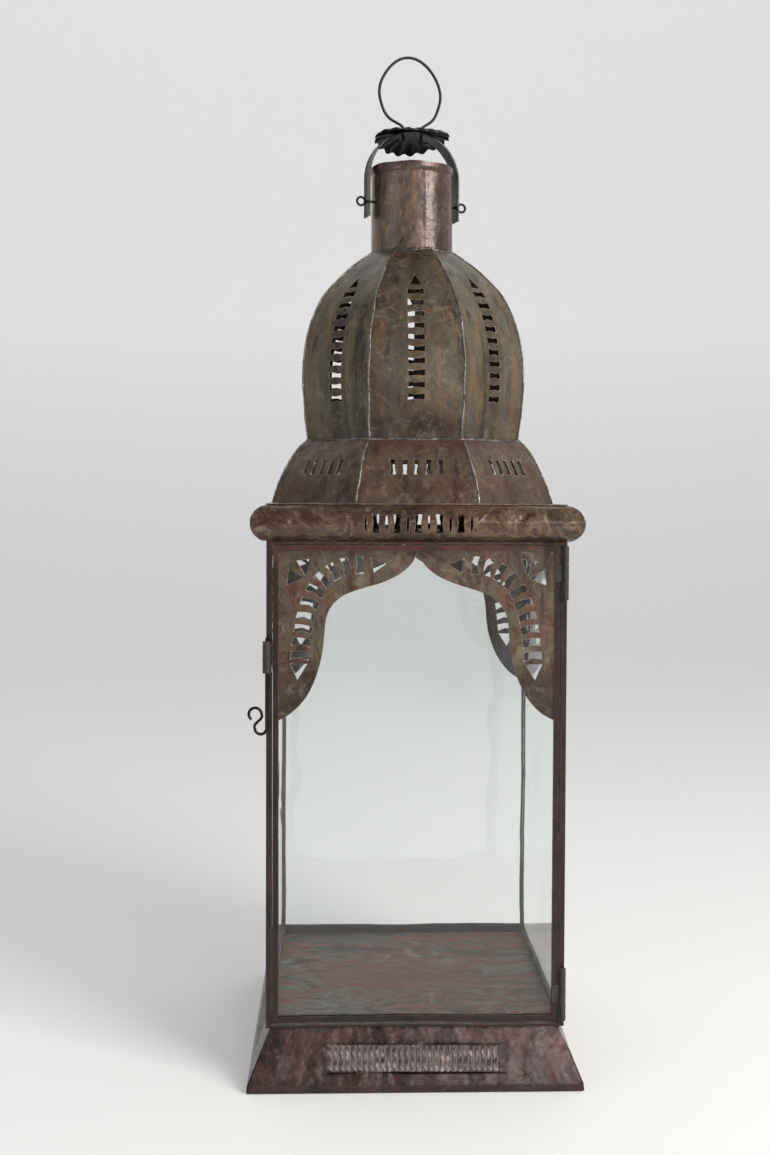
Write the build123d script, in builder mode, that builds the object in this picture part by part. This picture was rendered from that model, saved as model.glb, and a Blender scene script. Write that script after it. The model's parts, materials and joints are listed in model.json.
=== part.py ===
"""Glazed sheet-iron lantern with a pierced dome. Millimetres, +Z up, front towards -Y.

The origin is at the middle of the base, on the surface the lantern stands on.
"""
import os
from math import cos, radians, sin, sqrt, tan

from build123d import *

os.makedirs("parts", exist_ok=True)

# Driving dimensions
sheet = 0.8  # iron sheet everywhere
base_half = 115.0  # skirt at the floor
skirt_top_half = 99.5
skirt_height = 40.0
body_half = 102.5  # glazed box, corner posts outside
header_top = 373.5  # top of the glazed box
bar_height = 2.0  # solid bars that close the box at the bottom and the top
leg_width = 4.2  # visible leg of a corner post
rail_leg = 5.0  # visible leg of a rail above or below its bar
groove = 2.5  # room in the frame for a bracket and a pane
bracket_sheet = 0.5
pane = 1.8
door_half = 98.0
stile_width = 4.0
door_bottom, door_top = 43.8, 371.1
roll_radius = 12.5
roll_half = 100.5  # middle line of the cornice roll
plate_half = 103.0
bell_top = 443.5
chimney_radius = 30.4
chimney_bottom, chimney_top = 572.0, 648.0
pin_height = 622.0
pin_radius = 0.9
strap_radius = 35.6  # outside of the bail's arch
strap_sheet = 1.2
strap_width = 13.0
arch_centre = 640.0
rosette_radius = 28.5
ring_leg = 7.2
bail_turn = 17.0  # the bail's pins stand turned from the front, left end forward
overall_height = 732.0
seam_half = 0.45  # half of a soldered seam's width
seam_proud = 0.5

sides = ("front", "right", "back", "left")
bar_bottom_top = skirt_height + bar_height
header_bottom = header_top - bar_height
frame_depth = 2 * sheet + groove
octagon = 1 / cos(radians(22.5))  # corner radius of an octagon over its flat distance


def save(piece, name):
    """Label a finished piece and write its STEP file."""
    piece.label = name
    export_step(piece, f"parts/{name}.step")


def turned(piece, angle):
    """A copy of a piece made at the front, turned about the lantern's axis."""
    with BuildPart() as copy:
        add(piece, rotation=(0, 0, angle))
    return copy.part


def hourglass(width, height, waist):
    """A slot that is pinched in the middle of its two long sides."""
    with BuildSketch() as shape:
        with BuildLine():
            Polyline(
                (-width / 2, -height / 2), (0, -height / 2 + waist), (width / 2, -height / 2),
                (width / 2, height / 2), (0, height / 2 - waist), (-width / 2, height / 2),
                close=True,
            )
        make_face()
    return shape.sketch


def chevron(width, height, lift):
    """A slot bent upwards in the middle like a shallow roof."""
    with BuildSketch() as shape:
        with BuildLine():
            Polyline(
                (-width / 2, -height / 2 - lift / 2), (0, -height / 2 + lift),
                (width / 2, -height / 2 - lift / 2), (width / 2, height / 2 - lift / 2),
                (0, height / 2), (-width / 2, height / 2 - lift / 2), close=True,
            )
        make_face()
    return shape.sketch


def wedge(reach, height, half_angle, gap):
    """A prism that keeps one facet of a square or an octagon, set back by gap at both edges."""
    start = gap / sin(radians(half_angle))
    with BuildPart() as prism:
        with BuildSketch():
            with BuildLine():
                Polyline(
                    (0, -start), (reach * tan(radians(half_angle)), -start - reach),
                    (-reach * tan(radians(half_angle)), -start - reach), close=True,
                )
            make_face()
        extrude(amount=height)
    return prism.part


# ---------------------------------------------------------------- skirt base
hem_height = 5.0
hem_fold = 1.6
seat_width = 5.5
slit_count = 29
slit_pitch = 4.05
slit_low, slit_high = 13.0, 28.0
slit_width = 1.3
square_wedge = wedge(base_half + 20, 500, 45, 0.5)

# one wavy slit with two waists
sway = [0.8, 0.1, 0.8, 0.1, 0.8]
slit_step = (slit_high - slit_low) / (len(sway) - 1)
right_edge = [(x, slit_step * (i - 2)) for i, x in enumerate(sway)]
left_edge = [(x - slit_width, z) for x, z in reversed(right_edge)]
with BuildSketch() as slit_shape:
    with BuildLine():
        Polyline(*right_edge, *left_edge, close=True)
    make_face()
slit = slit_shape.sketch

with BuildPart() as skirt:
    with BuildSketch(Plane.YZ):
        with BuildLine():
            Polyline(
                (-base_half, 0), (-base_half + 0.4, hem_height), (-skirt_top_half, skirt_height),
                (-skirt_top_half + seat_width, skirt_height),
                (-skirt_top_half + seat_width, skirt_height - sheet),
                (-skirt_top_half + sheet, skirt_height - sheet),
                (-base_half + hem_fold + 0.4, hem_height), (-base_half + hem_fold, 0), close=True,
            )
        make_face()
    extrude(amount=base_half, both=True)
    with BuildSketch(Plane.XZ.offset(base_half - 30)):
        with Locations((0, (slit_low + slit_high) / 2)):
            with GridLocations(slit_pitch, 1, slit_count, 1):
                add(slit)
    extrude(amount=40, mode=Mode.SUBTRACT)
    add(square_wedge, mode=Mode.INTERSECT)

for index, side in enumerate(sides):
    save(turned(skirt.part, 90 * index), f"skirt_{side}")

diagonal = sqrt(2)
with BuildPart() as skirt_seams:
    with BuildSketch(Plane(origin=(0, 0, 0), x_dir=(1, -1, 0), z_dir=(-1, -1, 0))):
        with BuildLine():
            Polyline(
                (base_half * diagonal - 2.0, 0), (base_half * diagonal - 0.6, 0),
                (skirt_top_half * diagonal + 0.4, skirt_height - 0.1),
                (skirt_top_half * diagonal - 1.2, skirt_height - 0.1), close=True,
            )
        make_face()
    extrude(amount=seam_half, both=True)
seam = skirt_seams.part
with BuildPart() as skirt_corner_seams:
    for index in range(4):
        add(seam, rotation=(0, 0, 90 * index))
save(skirt_corner_seams.part, "skirt_corner_seams")

# ---------------------------------------------------------------- floor pan
pan_play = 0.1
pan_half = body_half - frame_depth - pan_play

with BuildPart(Plane.XY.offset(skirt_height)) as floor_pan:
    Box(2 * pan_half, 2 * pan_half, sheet, align=(Align.CENTER, Align.CENTER, Align.MIN))
save(floor_pan.part, "floor_pan")

# ---------------------------------------------------------------- box frame
post_height = header_bottom - bar_bottom_top
inner_leg = 5.0
web = sheet + groove
web_lap = 0.3  # the web of a post runs into its inner legs


def corner_post(channels):
    """Folded post in the front right corner. channels: 1 holds the right pane, 2 both panes."""
    with BuildPart() as post:
        with BuildSketch(Plane.XY.offset(bar_bottom_top)):
            with Locations((body_half, -body_half)):
                Rectangle(leg_width, sheet, align=(Align.MAX, Align.MIN))
                Rectangle(sheet, leg_width, align=(Align.MAX, Align.MIN))
                Rectangle(web + web_lap, web + web_lap, align=(Align.MAX, Align.MIN))
            with Locations((body_half - web, -body_half + web)):
                Rectangle(sheet, inner_leg - web, align=(Align.MAX, Align.MIN))
                if channels == 2:
                    Rectangle(inner_leg - web, sheet, align=(Align.MAX, Align.MIN))
        extrude(amount=post_height)
    return post.part


open_post = corner_post(1)
closed_post = corner_post(2)
with BuildPart() as front_left:
    mirror(open_post, about=Plane.YZ)
save(open_post, "post_front_right")
save(front_left.part, "post_front_left")
save(turned(closed_post, 90), "post_back_right")
save(turned(closed_post, 180), "post_back_left")

rail_wedge = wedge(body_half + 20, 500, 45, 0.05)


def frame_rail(bar_base, leg_base, leg_top, grooved):
    """A bar along the front edge; a grooved one has two legs that hold a pane between them."""
    with BuildPart() as rail:
        with BuildSketch(Plane.YZ):
            with Locations((-body_half, bar_base)):
                Rectangle(frame_depth, bar_height, align=(Align.MIN, Align.MIN))
        extrude(amount=body_half, both=True)
        add(rail_wedge, mode=Mode.INTERSECT)
        if grooved:
            with BuildSketch(Plane.YZ):
                with Locations((-body_half, leg_base)):
                    Rectangle(sheet, leg_top - leg_base, align=(Align.MIN, Align.MIN))
            extrude(amount=body_half - leg_width, both=True)
            with BuildSketch(Plane.YZ):
                with Locations((-body_half + web, leg_base)):
                    Rectangle(sheet, leg_top - leg_base, align=(Align.MIN, Align.MIN))
            extrude(amount=body_half - inner_leg, both=True)
    return rail.part


bottom_pieces = [
    frame_rail(skirt_height, bar_bottom_top, bar_bottom_top + rail_leg, side != "front")
    for side in sides
]
with BuildPart() as bottom_rails:
    for index, rail in enumerate(bottom_pieces):
        add(rail, rotation=(0, 0, 90 * index))
save(bottom_rails.part, "bottom_rails")

top_pieces = [
    frame_rail(header_bottom, header_bottom - rail_leg, header_bottom, side != "front")
    for side in sides
]
with BuildPart() as top_rails:
    for index, rail in enumerate(top_pieces):
        add(rail, rotation=(0, 0, 90 * index))
save(top_rails.part, "top_rails")

# ---------------------------------------------------------------- panes and brackets
pane_gap = 0.1  # side play of panes and brackets in their grooves
pane_depth = sheet + bracket_sheet + 0.15  # outer face of a pane below the frame's face


def glass_pane(half, low, high):
    """A pane along the front, between two heights."""
    with BuildPart() as glass:
        with BuildSketch(Plane.XZ.offset(body_half - pane_depth)):
            with Locations((0, low)):
                Rectangle(2 * half, high - low, align=(Align.CENTER, Align.MIN))
        extrude(amount=-pane)
    return glass.part


rung_count = 10
rung_shape = chevron(12.0, 5.2, 1.1)

# the rungs follow a bent line from the bottom of the stile to the top rail
with BuildLine() as ladder_line:
    Spline((14.0, -75.5), (18.0, -47.0), (28.5, -22.5), (59.5, -10.0))
ladder = ladder_line.line.edge()
rung_steps = [(i + 0.5) / rung_count for i in range(rung_count)]
ladder_places = [
    Location(ladder @ step, (0, 0, ladder.tangent_angle_at(step) - 90)) for step in rung_steps
]


def bracket_sheet_cut(half, edge, opening_top, top):
    """One pierced corner bracket in the upper left corner of an opening along the front.

    half is the opening's half width; edge and top are where the sheet ends in its grooves.
    Points run right and up from the opening's upper left corner.
    """
    with BuildSketch() as flat:
        with BuildLine():
            crest = Spline((half, 0.5), (half - 6, -11), (half - 17, -18.9), (half - 42, -27.5),
                           (44, -31), (34.6, -40.3), (31, -59), (26.4, -83), (13, -106.5),
                           (0, -115.5))
            Polyline(
                crest @ 1, (half - edge, -115.5), (half - edge, top - opening_top),
                (half, top - opening_top), crest @ 0,
            )
        make_face()
        for place in ladder_places:
            with Locations(place):
                add(rung_shape, mode=Mode.SUBTRACT)
        for corners in bracket_triangles:
            with BuildLine():
                Polyline(*corners, close=True)
            make_face(mode=Mode.SUBTRACT)
    return flat.sketch


# pointed ends of the ladder, and the ornament in the corner
bracket_triangles = (
    ((8, -77), (19.5, -77), (12.9, -87.5)),
    ((62.2, -5.0), (64.6, -14.8), (73.0, -9.0)),
    ((12.5, -7), (23.2, -5.7), (18.6, -17.3)),
    ((7, -12.5), (5.7, -23.2), (17.3, -18.6)),
)


def bracket_pair(half, edge, opening_top, top):
    """Both brackets of an opening along the front, the right one mirrored from the left."""
    outline = bracket_sheet_cut(half, edge, opening_top, top)
    with BuildPart() as pair:
        with BuildSketch(Plane.XZ.offset(body_half - sheet - 0.05)):
            with Locations((-half, opening_top)):
                add(outline)
        extrude(amount=-bracket_sheet)
        mirror(about=Plane.YZ)
    return pair.part


side_opening = body_half - leg_width
side_edge = body_half - web - web_lap - pane_gap
side_glass = glass_pane(side_edge, bar_bottom_top + pane_gap, header_bottom - pane_gap)
side_brackets = bracket_pair(
    side_opening, side_edge, header_bottom - rail_leg, header_bottom - pane_gap
)
for index, side in enumerate(sides):
    if side != "front":
        save(turned(side_glass, 90 * index), f"glass_{side}")
        save(turned(side_brackets, 90 * index), f"brackets_{side}")

# ---------------------------------------------------------------- door
door_edge = door_half - 1.1  # where the pane ends in the door's groove
door_opening = door_half - stile_width


def door_member(length_half, edge):
    """A folded channel of the door frame along X; its outer edge is at height edge, opening up."""
    with BuildPart() as member:
        with BuildSketch(Plane.YZ):
            with Locations((-body_half, edge)):
                Rectangle(sheet, stile_width, align=(Align.MIN, Align.MIN))
                Rectangle(web, 1.0, align=(Align.MIN, Align.MIN))
            with Locations((-body_half + web, edge)):
                Rectangle(sheet, stile_width, align=(Align.MIN, Align.MIN))
        extrude(amount=length_half, both=True)
        # mitred ends
        for hand in (-1, 1):
            with BuildSketch(Plane.XZ.offset(body_half + 10)):
                with BuildLine():
                    Polyline(
                        (hand * length_half, edge), (hand * length_half, edge + 20),
                        (hand * (length_half - 20), edge + 20), close=True,
                    )
                make_face()
            extrude(amount=-30, mode=Mode.SUBTRACT)
    return member.part


door_middle = (door_bottom + door_top) / 2
door_height = door_top - door_bottom
bottom_member = door_member(door_half, door_bottom)
with BuildPart() as top_member:
    mirror(bottom_member, about=Plane.XY.offset(door_middle))
# a stile is the same channel, standing on end
lying = door_member(door_height / 2, -door_half)
with BuildPart() as latch_stile:
    with Locations((0, 0, door_middle)):
        add(lying, rotation=(0, 90, 0))
with BuildPart() as hinge_stile:
    mirror(latch_stile.part, about=Plane.YZ)
save(bottom_member, "door_bottom_rail")
save(top_member.part, "door_top_rail")
save(latch_stile.part, "door_latch_stile")
save(hinge_stile.part, "door_hinge_stile")
save(glass_pane(door_edge, door_bottom + 1.1, door_top - 1.1), "door_glass")
door_brackets = bracket_pair(door_opening, door_edge, door_top - stile_width, door_top - 1.1)
save(door_brackets, "door_brackets")

# ---------------------------------------------------------------- hinges
hinge_x, hinge_y = 101.2, -body_half - 2.15
barrel_radius = 2.0
barrel_bore = pin_radius + 0.05
knuckle_gap = 0.3
leaf_sheet = 0.6
frame_leaf = 2.6  # how far a leaf reaches from the hinge's axis onto the post
door_leaf_end = 94.3
pin_proud = 0.4  # a pin's ends beyond its barrel
hinge_spans = ((45.0, 81.0), (334.0, 371.0))


def knuckle(low, high, leaf_end, pad_end):
    """A rolled barrel with a leaf soldered to the front of the post or the stile."""
    with BuildPart() as roll:
        with BuildSketch(Plane.XY.offset(low)):
            with Locations((hinge_x, hinge_y)):
                Circle(barrel_radius)
            with Locations((hinge_x, hinge_y + barrel_radius)):
                Rectangle(hinge_x - leaf_end, leaf_sheet, align=(Align.MAX, Align.MAX))
            with Locations((pad_end, -body_half)):
                Rectangle(pad_end - leaf_end, leaf_sheet, align=(Align.MAX, Align.MAX))
            with Locations((hinge_x, hinge_y)):
                Circle(barrel_bore, mode=Mode.SUBTRACT)
        extrude(amount=high - low)
    return roll.part


frame_knuckles = []
door_knuckles = []
for low, high in hinge_spans:
    third = (high - low) / 3
    frame_knuckles += [
        knuckle(low, low + third, hinge_x - frame_leaf, hinge_x),
        knuckle(high - third, high, hinge_x - frame_leaf, hinge_x),
    ]
    door_knuckles.append(
        knuckle(
            low + third + knuckle_gap, high - third - knuckle_gap, door_leaf_end, door_half - 0.1
        )
    )
with BuildPart() as hinge_frame_knuckles:
    add(frame_knuckles)
save(hinge_frame_knuckles.part, "hinge_frame_knuckles")
with BuildPart() as hinge_door_knuckles:
    add(door_knuckles)
save(hinge_door_knuckles.part, "hinge_door_knuckles")
with BuildPart() as hinge_pins:
    for low, high in hinge_spans:
        with BuildSketch(Plane.XY.offset(low - pin_proud)):
            with Locations((hinge_x, hinge_y)):
                Circle(pin_radius)
        extrude(amount=high - low + 2 * pin_proud)
save(hinge_pins.part, "hinge_pins")

# ---------------------------------------------------------------- latch
latch_x, latch_y = -102.0, -106.4
latch_low, latch_high = 284.5, 306.0
latch_radius = 3.2
wire_radius = 1.0
stem_bottom = 247.0

with BuildPart() as latch_barrel:
    with BuildSketch(Plane.XY.offset(latch_low)):
        with Locations((latch_x, latch_y)):
            Circle(latch_radius)
            Circle(wire_radius + 0.06, mode=Mode.SUBTRACT)
        with Locations((latch_x + 1.4, -body_half)):
            Rectangle(2.2, 1.2, align=(Align.MIN, Align.MAX))
    extrude(amount=latch_high - latch_low)
save(latch_barrel.part, "latch_barrel")

curl_radius = 3.95
eye_radius = 4.3
eye_rise = 9.6
head_radius = 1.3
with BuildPart() as latch_wire:
    with BuildLine(Plane(origin=(latch_x, latch_y, stem_bottom), x_dir=(1, 0, 0), z_dir=(0, -1, 0))):
        head_height = latch_high + wire_radius + 0.3 - stem_bottom
        CenterArc((head_radius, head_height), head_radius, 0, 180)
        Line((0, head_height), (0, 0))
        CenterArc((-curl_radius, 0), curl_radius, 0, -180)
        eye_centre = (-2 * curl_radius + 0.3, eye_rise)
        Spline(
            (-2 * curl_radius, 0), (eye_centre[0] + eye_radius, eye_rise),
            tangents=((0, 1), (0, 1)), tangent_scalars=(1.3, 1.3),
        )
        CenterArc(eye_centre, eye_radius, 0, 235)
    wire_start = Plane(
        origin=(latch_x + 2 * head_radius, latch_y, latch_high + wire_radius + 0.3), z_dir=(0, 0, 1)
    )
    with BuildSketch(wire_start):
        Circle(wire_radius)
    sweep()
save(latch_wire.part, "latch_wire")

# ---------------------------------------------------------------- cornice
roll_centre = header_top + roll_radius
wide_slot = hourglass(12.5, 5.2, 0.9)
slit_half_width, slit_half_height = 0.9, 5.6
cornice_slot_pitch = 14.2
plate_hole = 98.0  # half of the octagon under the bell, across its flats

with BuildPart() as cornice:
    with BuildSketch(Plane.YZ):
        with Locations((-roll_half, roll_centre)):
            Circle(roll_radius)
            Circle(roll_radius - sheet, mode=Mode.SUBTRACT)
        with Locations((-roll_half, roll_centre)):
            Rectangle(
                roll_radius + 5, 2 * roll_radius + 2, align=(Align.MIN, Align.CENTER),
                mode=Mode.SUBTRACT,
            )
    extrude(amount=body_half + 20, both=True)
    with BuildSketch(Plane.XZ.offset(roll_half + 4)):
        with Locations((0, roll_centre)):
            with GridLocations(cornice_slot_pitch, 1, 5, 1):
                add(wide_slot, rotation=90)
            with GridLocations(cornice_slot_pitch, 1, 6, 1):
                Ellipse(slit_half_width, slit_half_height)
    extrude(amount=20, mode=Mode.SUBTRACT)
    add(wedge(body_half + 40, 500, 45, 0.05), mode=Mode.INTERSECT)
for index, side in enumerate(sides):
    save(turned(cornice.part, 90 * index), f"cornice_{side}")

bell_bottom = roll_centre + roll_radius + sheet
with BuildPart() as cornice_top_plate:
    with BuildSketch(Plane.XY.offset(roll_centre + roll_radius)):
        RectangleRounded(2 * plate_half, 2 * plate_half, 4)
        RegularPolygon(plate_hole, 8, major_radius=False, rotation=22.5, mode=Mode.SUBTRACT)
    extrude(amount=sheet)
save(cornice_top_plate.part, "cornice_top_plate")

# ---------------------------------------------------------------- bell and dome
octant = wedge(130, 700, 22.5, seam_half)
facet_angles = [45 * i for i in range(8)]


def bell_outline(spread, raise_by):
    """Profile of the bell, spread out by a factor and moved out by an amount: (distance, height)."""
    points = [(101.2, bell_bottom), (99.4, 405), (95.9, 415), (91.3, 425.5), (85.3, 435.5),
              (78.9, bell_top)]
    return [(-(distance + raise_by) * spread, height) for distance, height in points]


def dome_outline(spread, raise_by):
    """Profile of the dome, spread out by a factor and moved out by an amount."""
    points = [(76.6, bell_top + sheet), (79.0, 467), (80.3, 489), (77.4, 518.2), (66.9, 547),
              (48.6, 569), (28.0, 585.5)]
    return [(-(distance + raise_by) * spread, height) for distance, height in points]


bell_slot = hourglass(10.3, 4.1, 0.8)
bell_slot_height, bell_slot_pitch = 424.6, 8.3
flange = 3.4  # the bell's top edge is turned in to carry the dome
with BuildPart() as bell_panel:
    with BuildSketch(Plane.YZ):
        with BuildLine():
            outer = Spline(*bell_outline(1, 0))
            inner = Spline(*reversed([(y + sheet, z) for y, z in bell_outline(1, 0)[:-1]]))
            lip = outer @ 1
            Polyline(
                lip, lip + Vector(flange, 0), lip + Vector(flange, -sheet),
                lip + Vector(1.0, -sheet), inner @ 0,
            )
            Line(inner @ 1, outer @ 0)
        make_face()
    extrude(amount=60, both=True)
    with BuildSketch(Plane.XZ.offset(70)):
        with Locations((0, bell_slot_height)):
            with GridLocations(bell_slot_pitch, 1, 5, 1):
                add(bell_slot, rotation=90)
    extrude(amount=50, mode=Mode.SUBTRACT)
    add(octant, mode=Mode.INTERSECT)
for number, angle in enumerate(facet_angles, 1):
    save(turned(bell_panel.part, angle), f"bell_panel_{number}")

rung_pitch = 8.35
first_rung = 473.5
rungs_on_gore = 10
tip_half, tip_height = 4.2, 8.5
dome_rung = hourglass(11.5, 4.4, 0.75)
with BuildPart() as dome_gore:
    with BuildSketch(Plane.YZ):
        with BuildLine():
            outer = Spline(*dome_outline(1, 0))
            inner = Spline(*reversed(dome_outline(1, -sheet)[:-1] + [(-27.6, 584.7)]))
            Line(outer @ 1, inner @ 0)
            Line(inner @ 1, outer @ 0)
        make_face()
    extrude(amount=60, both=True)
    with BuildSketch(Plane.XZ.offset(35)):
        for rung in range(rungs_on_gore):
            with Locations((0, first_rung + rung * rung_pitch)):
                add(dome_rung)
        with BuildLine():
            tip = first_rung + (rungs_on_gore - 0.4) * rung_pitch
            Polyline((-tip_half, tip), (0, tip + tip_height), (tip_half, tip), close=True)
        make_face()
    extrude(amount=60, mode=Mode.SUBTRACT)
    add(octant, mode=Mode.INTERSECT)
    with BuildSketch(Plane.XY.offset(550)):
        Circle(chimney_radius + 0.05)
    extrude(amount=60, mode=Mode.SUBTRACT)
for number, angle in enumerate(facet_angles, 1):
    save(turned(dome_gore.part, angle), f"dome_gore_{number}")


def seam_strip(outline, proud):
    """Solder that fills the joint between two facets, standing a little proud outside."""
    with BuildPart() as strip:
        with BuildSketch(Plane.YZ):
            with BuildLine():
                outside = Spline(*outline(octagon, proud))
                inside = Spline(*reversed(outline(octagon, -sheet)))
                Line(outside @ 1, inside @ 0)
                Line(inside @ 1, outside @ 0)
            make_face()
        extrude(amount=seam_half, both=True)
        with BuildSketch(Plane.XY.offset(550)):
            Circle(chimney_radius + 0.05)
        extrude(amount=60, mode=Mode.SUBTRACT)
    return strip.part


for name, outline in (("bell_seams", bell_outline), ("dome_seams", dome_outline)):
    strip = seam_strip(outline, seam_proud)
    with BuildPart() as seams:
        for angle in facet_angles:
            add(strip, rotation=(0, 0, angle + 22.5))
    save(seams.part, name)

# ---------------------------------------------------------------- chimney
rim_height = 5.0
rim_proud = 0.6
pin_play = 0.05
pin_turn = radians(bail_turn)
with BuildPart() as chimney:
    with BuildSketch(Plane.XY.offset(chimney_bottom)):
        Circle(chimney_radius)
    extrude(amount=chimney_top - chimney_bottom)
    with BuildSketch(Plane.XY.offset(chimney_top - rim_height)):
        Circle(chimney_radius + rim_proud)
    extrude(amount=rim_height)
    with BuildSketch(Plane.XY.offset(chimney_bottom)):
        Circle(chimney_radius - sheet)
    extrude(amount=chimney_top - chimney_bottom, mode=Mode.SUBTRACT)
    with Locations(Plane(origin=(0, 0, pin_height), z_dir=(cos(pin_turn), sin(pin_turn), 0))):
        Cylinder(pin_radius + pin_play, 4 * chimney_radius, mode=Mode.SUBTRACT)
save(chimney.part, "chimney")

# ---------------------------------------------------------------- bail, rosette and ring
strap_inner = strap_radius - strap_sheet
tail_bottom = 610.5
crown_rise = 7.4
crown_base = strap_radius + arch_centre + 0.6
hole_radius = 1.75

with BuildPart() as bail_strap:
    with BuildSketch(Plane.XZ):
        with Locations((0, arch_centre)):
            Circle(strap_radius)
            Circle(strap_inner, mode=Mode.SUBTRACT)
            Rectangle(
                2 * strap_radius, strap_radius, align=(Align.CENTER, Align.MAX), mode=Mode.SUBTRACT
            )
        for hand in (-1, 1):
            with Locations((hand * (strap_radius - strap_sheet / 2), tail_bottom)):
                Rectangle(strap_sheet, arch_centre - tail_bottom, align=(Align.CENTER, Align.MIN))
    extrude(amount=strap_width / 2, both=True)
    with Locations(Location((0, 0, pin_height), (0, 90, 0))):
        Cylinder(pin_radius + pin_play, 4 * strap_radius, mode=Mode.SUBTRACT)
    with BuildSketch(Plane.XY.offset(arch_centre)):
        with Locations((-ring_leg, 0), (ring_leg, 0)):
            Circle(hole_radius)
    extrude(amount=60, mode=Mode.SUBTRACT)
save(turned(bail_strap.part, bail_turn), "bail_strap")

lobe_count = 18
lobe_radius = 4.6
with BuildPart() as rosette:
    with BuildSketch(Plane.XZ):
        with BuildLine():
            crown = ThreePointArc(
                (-rosette_radius, crown_base - crown_rise), (0, crown_base),
                (rosette_radius, crown_base - crown_rise),
            )
            Polyline(
                crown @ 1, (rosette_radius, crown_base - crown_rise + sheet),
            )
            top = ThreePointArc(
                (rosette_radius, crown_base - crown_rise + sheet), (0, crown_base + sheet),
                (-rosette_radius, crown_base - crown_rise + sheet),
            )
            Line(top @ 1, crown @ 0)
        make_face()
        with Locations((-rosette_radius, crown_base)):
            Rectangle(rosette_radius, 20, align=(Align.MIN, Align.CENTER), mode=Mode.SUBTRACT)
    revolve(axis=Axis.Z)
    with BuildSketch(Plane.XY.offset(crown_base - 10)):
        Circle(rosette_radius - lobe_radius)
        with PolarLocations(rosette_radius - lobe_radius, lobe_count):
            Circle(lobe_radius)
    extrude(amount=20, mode=Mode.INTERSECT)
    with BuildSketch(Plane.XY.offset(crown_base - 10)):
        with Locations((-ring_leg, 0), (ring_leg, 0)):
            Circle(hole_radius)
    extrude(amount=20, mode=Mode.SUBTRACT)
save(turned(rosette.part, bail_turn), "rosette")

ring_wire = 1.05
ring_lean = 1.8  # the hand-bent ring leans a little to the left
curl_height = arch_centre + sqrt(strap_inner ** 2 - ring_leg ** 2) - ring_wire - 3.2
ring_curl = 2.2
with BuildPart() as hang_ring:
    with BuildLine(Plane.XZ):
        CenterArc((-ring_leg - ring_curl, curl_height), ring_curl, -180, 180)
        Line((-ring_leg, curl_height), (-ring_leg, crown_base + 2.0))
        Spline(
            (-ring_leg, crown_base + 2.0), (-15.6 - ring_lean, 684.4), (-21.6 - ring_lean, 692.5),
            (-24.1 - ring_lean, 704.0), (-ring_lean, overall_height - ring_wire),
            (24.1 - ring_lean, 704.0), (21.6 - ring_lean, 692.5), (14.6, 684.4),
            (ring_leg, crown_base + 2.0), tangents=((0, 1), (0, -1)), tangent_scalars=(0.6, 0.6),
        )
        Line((ring_leg, crown_base + 2.0), (ring_leg, curl_height))
        CenterArc((ring_leg + ring_curl, curl_height), ring_curl, 180, 180)
    ring_start = Plane(
        origin=(-ring_leg - 2 * ring_curl, 0, curl_height), z_dir=(0, 0, -1)
    )
    with BuildSketch(ring_start):
        Circle(ring_wire)
    sweep()
save(turned(hang_ring.part, bail_turn), "hang_ring")

eye_outer, eye_wire = 3.9, 0.9
eye_middle = strap_radius + eye_outer + 0.4
pin_inner_end = 29.0
with BuildPart() as bail_pin:
    with Locations(Location((pin_inner_end, 0, pin_height), (0, 90, 0))):
        Cylinder(
            pin_radius, eye_middle - eye_outer + eye_wire - pin_inner_end,
            align=(Align.CENTER, Align.CENTER, Align.MIN),
        )
    with Locations(Location((eye_middle, 0, pin_height), (90, 0, 0))):
        Torus(eye_outer - eye_wire, eye_wire)
save(turned(bail_pin.part, bail_turn), "bail_pin_right")
save(turned(bail_pin.part, bail_turn + 180), "bail_pin_left")
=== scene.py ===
"""Looks of a glazed sheet-iron lantern with a pierced dome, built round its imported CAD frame."""
import json
import math

import bmesh
import bpy
import numpy as np
from mathutils import Matrix, Vector


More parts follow.
